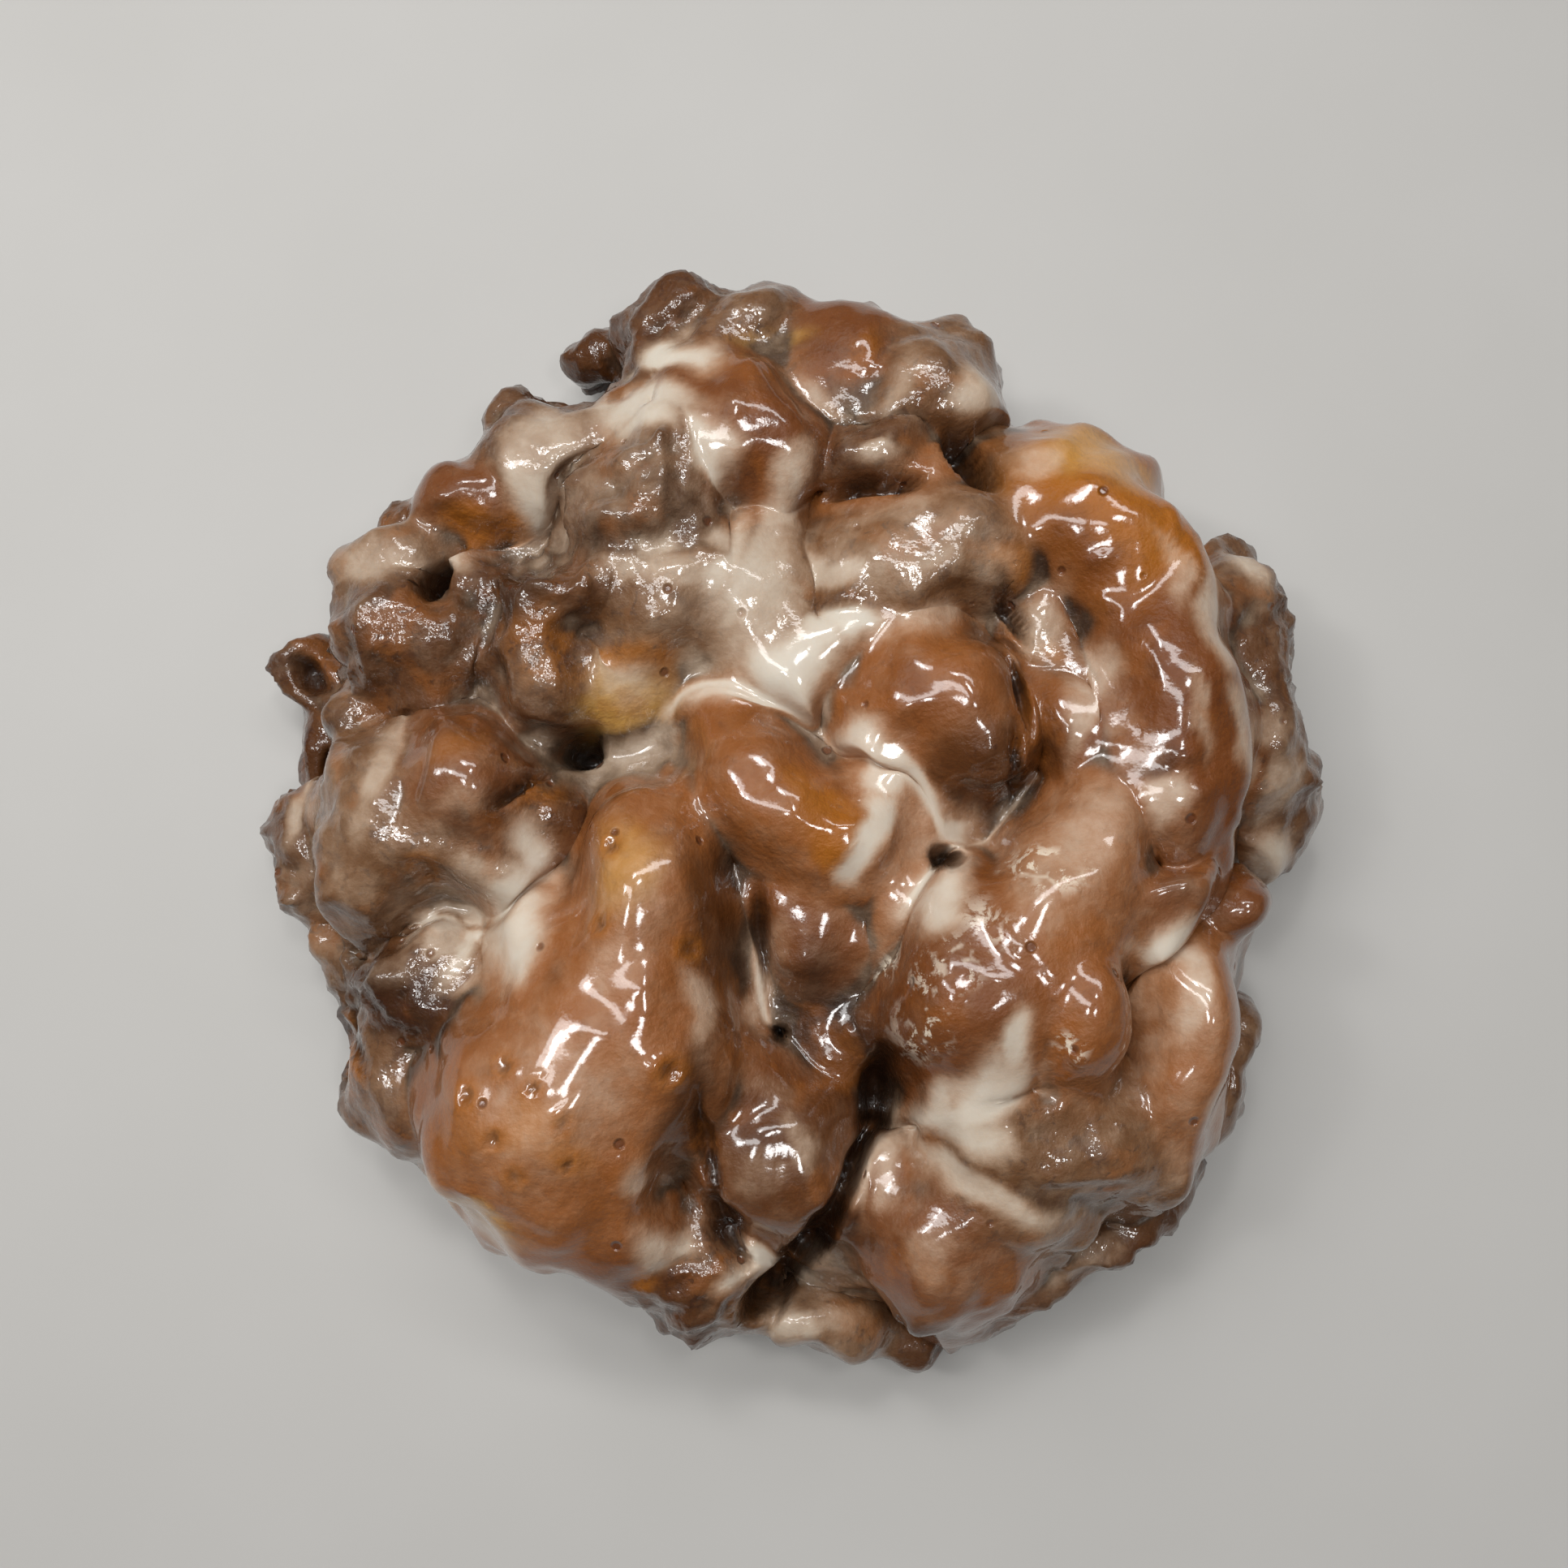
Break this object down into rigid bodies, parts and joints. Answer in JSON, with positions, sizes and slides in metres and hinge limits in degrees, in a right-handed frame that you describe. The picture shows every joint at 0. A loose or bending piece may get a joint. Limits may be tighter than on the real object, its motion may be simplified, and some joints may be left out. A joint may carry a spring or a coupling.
{
  "type": "apple fritter",
  "caption": "Round apple fritter: a low flat-bottomed body of fried dough with craggy lobes, folds and small pits run together all over it, coated in a thin sugar glaze.",
  "frame": {"origin": "on the surface it rests on, under the middle of the fritter's outline box", "axes": "+Z up out of the glazed top; seen from above with the tongue-shaped lobe at the lower left, +X is to the right and +Y is up"},
  "size_m": [0.1506, 0.1514, 0.047],
  "materials": {
    "glazed_crust": "browned fried dough under a thin, wet-looking milky sugar glaze that pools white in the creases"
  },
  "bodies": {
    "root": {"fritter": "glazed_crust"}
  },
  "joints": []
}
